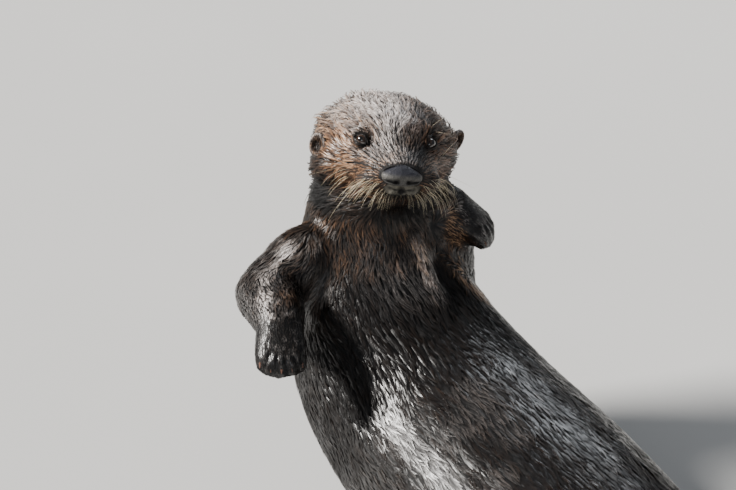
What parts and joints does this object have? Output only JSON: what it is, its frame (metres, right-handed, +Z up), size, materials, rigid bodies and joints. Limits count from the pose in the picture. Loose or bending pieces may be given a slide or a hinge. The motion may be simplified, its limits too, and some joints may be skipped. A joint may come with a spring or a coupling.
{
  "type": "sea otter model",
  "caption": "Life-size still model of a sea otter resting on its back, head raised and turned to look over its belly, forepaws up, hind flippers spread.",
  "frame": {"origin": "middle of the whole seen from above, at the level that the back and tail rest on", "axes": "+Y from the hips towards the head, +X towards the otter's left side, +Z up through the belly"},
  "size_m": [0.4482, 1.062, 0.3968],
  "materials": {
    "fur": "wet, glossy dark brown fur",
    "head_fur": "damp, clumped mid-brown fur",
    "paw_fur": "short wet black fur",
    "nose_skin": "moist bare skin",
    "eye_dark": "polished dark brown, opaque",
    "claw_horn": "satin reddish-brown horn"
  },
  "bodies": {
    "root": {"head": "head_fur", "neck": "fur", "chest": "fur", "belly": "fur", "hips": "fur", "tail": "fur", "upper_arm_left": "fur", "forearm_left": "fur", "forepaw_left": "paw_fur", "thigh_left": "fur", "shank_left": "fur", "hind_flipper_left": "paw_fur", "ear_left": "head_fur", "eye_left": "eye_dark", "claw_fore_left_1": "claw_horn", "claw_fore_left_2": "claw_horn", "claw_fore_left_3": "claw_horn", "claw_fore_left_4": "claw_horn", "claw_fore_left_5": "claw_horn", "claw_hind_left_1": "claw_horn", "claw_hind_left_2": "claw_horn", "claw_hind_left_3": "claw_horn", "claw_hind_left_4": "claw_horn", "claw_hind_left_5": "claw_horn", "upper_arm_right": "fur", "forearm_right": "fur", "forepaw_right": "paw_fur", "thigh_right": "fur", "shank_right": "fur", "hind_flipper_right": "paw_fur", "ear_right": "head_fur", "eye_right": "eye_dark", "claw_fore_right_1": "claw_horn", "claw_fore_right_2": "claw_horn", "claw_fore_right_3": "claw_horn", "claw_fore_right_4": "claw_horn", "claw_fore_right_5": "claw_horn", "claw_hind_right_1": "claw_horn", "claw_hind_right_2": "claw_horn", "claw_hind_right_3": "claw_horn", "claw_hind_right_4": "claw_horn", "claw_hind_right_5": "claw_horn", "nose": "nose_skin"}
  },
  "joints": []
}
